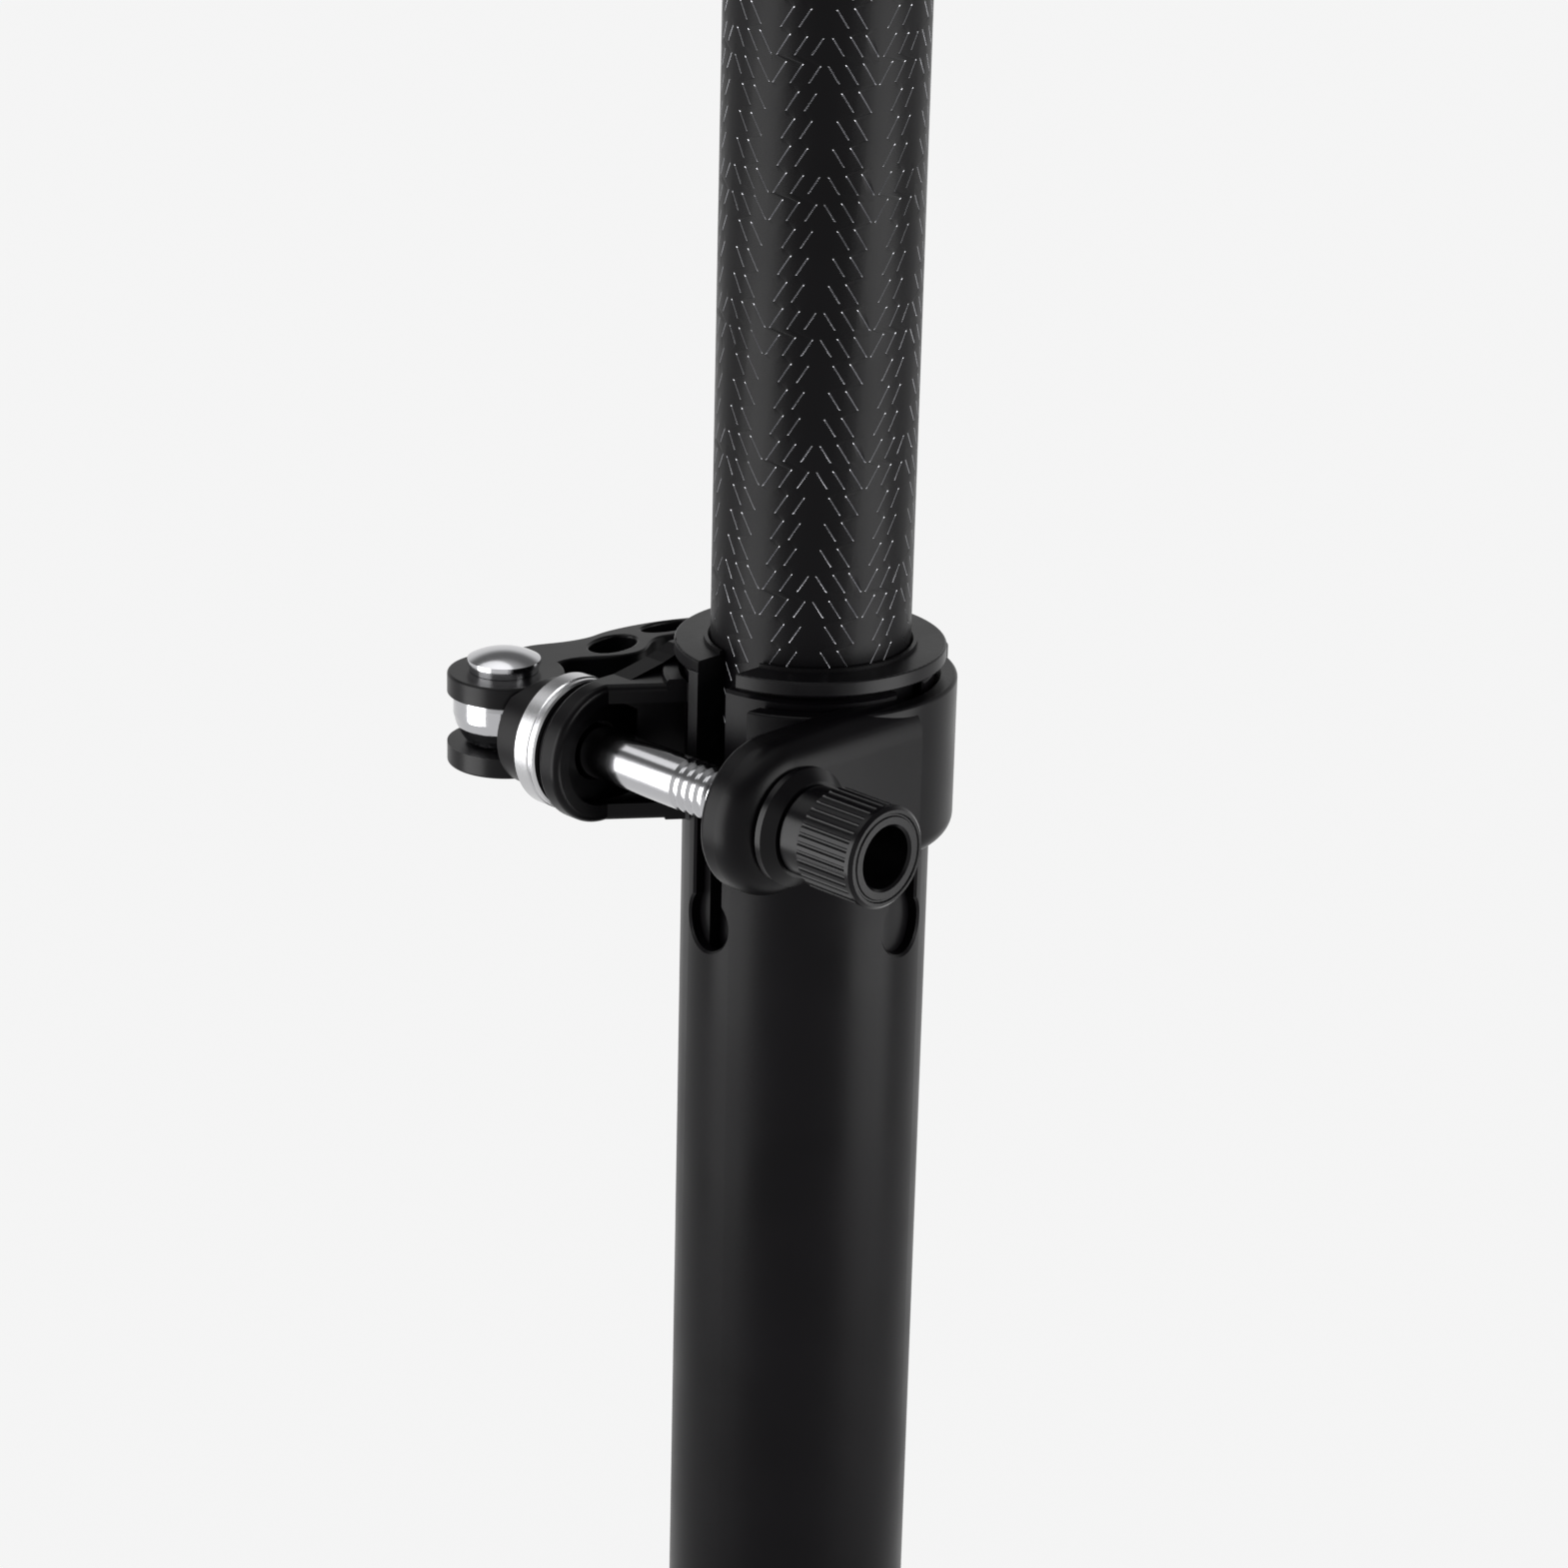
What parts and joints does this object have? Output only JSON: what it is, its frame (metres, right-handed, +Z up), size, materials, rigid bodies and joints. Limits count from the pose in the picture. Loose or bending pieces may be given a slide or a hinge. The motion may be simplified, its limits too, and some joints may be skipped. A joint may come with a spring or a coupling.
{
  "type": "suspension seatpost",
  "caption": "Telescopic suspension seatpost: slotted lower tube, split sleeve, quick-release collar with cam lever and knurled nut, sprung inner leg and two-rail saddle clamp.",
  "frame": {"origin": "centre of the lower tube's bottom end, on the post's axis", "axes": "+Z up along the post, +X towards the front of the bicycle, so the clamp gap and the skewer are at the rear (-X) and the cam lever pivots on the left (+Y)"},
  "size_m": [0.0661, 0.0803, 0.4236],
  "materials": {
    "anodised_black": "satin black anodised",
    "post_black": "matte black with engraved dashes",
    "collar_black": "satin black",
    "sleeve_black": "satin moulded black",
    "polished_steel": "polished",
    "brushed_steel": "brushed",
    "black_plastic": "matte black",
    "rubber_black": "matte",
    "bushing_plastic": "smooth dark grey",
    "brass": "satin",
    "spring_steel": "dark spring steel",
    "elastomer": "matte amber"
  },
  "bodies": {
    "lower": {"lower_tube": "anodised_black", "lower_tube_plug": "rubber_black", "shim_sleeve": "sleeve_black", "clamp_collar": "collar_black", "steel_washer": "brushed_steel", "cam_washer": "black_plastic"},
    "skewer": {"skewer_rod": "polished_steel", "skewer_barrel": "polished_steel"},
    "lever": {"cam_lever": "collar_black", "pivot_rivet": "polished_steel"},
    "nut_seat": {"nut_washer": "collar_black"},
    "nut": {"knurled_nut": "collar_black"},
    "post": {"post_tube": "post_black", "post_cap_nut": "anodised_black", "wiper_seal": "rubber_black", "upper_bushing": "bushing_plastic", "lower_bushing": "bushing_plastic", "key_pin_left": "brass", "key_pin_right": "brass", "retainer_plug": "anodised_black", "lower_spring_seat": "bushing_plastic", "elastomer_bumper": "elastomer", "coil_spring": "spring_steel"},
    "leg": {"stanchion": "polished_steel", "guide_piston": "bushing_plastic", "upper_spring_seat": "bushing_plastic", "head_barrel": "collar_black"},
    "saddle_clamp": {"inner_clamp_left": "collar_black", "inner_clamp_right": "collar_black", "outer_clamp_left": "collar_black", "outer_clamp_right": "collar_black", "clamp_washer_left": "brushed_steel", "clamp_washer_right": "brushed_steel", "clamp_bolt": "brushed_steel", "clamp_nut": "brushed_steel"}
  },
  "joints": [
    {"name": "post_height", "type": "slide", "parent": "lower", "child": "post", "axis": [0, 0, 1], "range_m": [-0.095, 0.04]},
    {"name": "suspension", "type": "slide", "parent": "post", "child": "leg", "axis": [0, 0, 1], "range_m": [-0.04, 0], "stiffness_N_per_m": 20000, "springref_m": 0.006, "deforming": ["coil_spring"]},
    {"name": "saddle_tilt", "type": "hinge", "parent": "leg", "child": "saddle_clamp", "pos_m": [0, 0, 0.4025], "axis": [0, 1, 0], "range_deg": [-20, 20]},
    {"name": "lever_open", "type": "hinge", "parent": "skewer", "child": "lever", "pos_m": [-0.024, 0.0352, 0.2152], "axis": [0, 0, 1], "range_deg": [0, 170]},
    {"name": "skewer_release", "type": "slide", "parent": "lower", "child": "skewer", "axis": [0, -1, 0], "range_m": [0, 0.0008]},
    {"name": "nut_back_off", "type": "slide", "parent": "skewer", "child": "nut_seat", "axis": [0, -1, 0], "range_m": [0, 0.003]},
    {"name": "nut_turn", "type": "hinge", "parent": "nut_seat", "child": "nut", "pos_m": [-0.024, -0.025, 0.2152], "axis": [0, -1, 0], "range_deg": [0, 720]}
  ],
  "couplings": [
    {"joint": "skewer_release", "follows": "lever_open", "m_per_rad": 0.0002696},
    {"joint": "nut_turn", "follows": "nut_back_off", "rad_per_m": 4188.8}
  ]
}
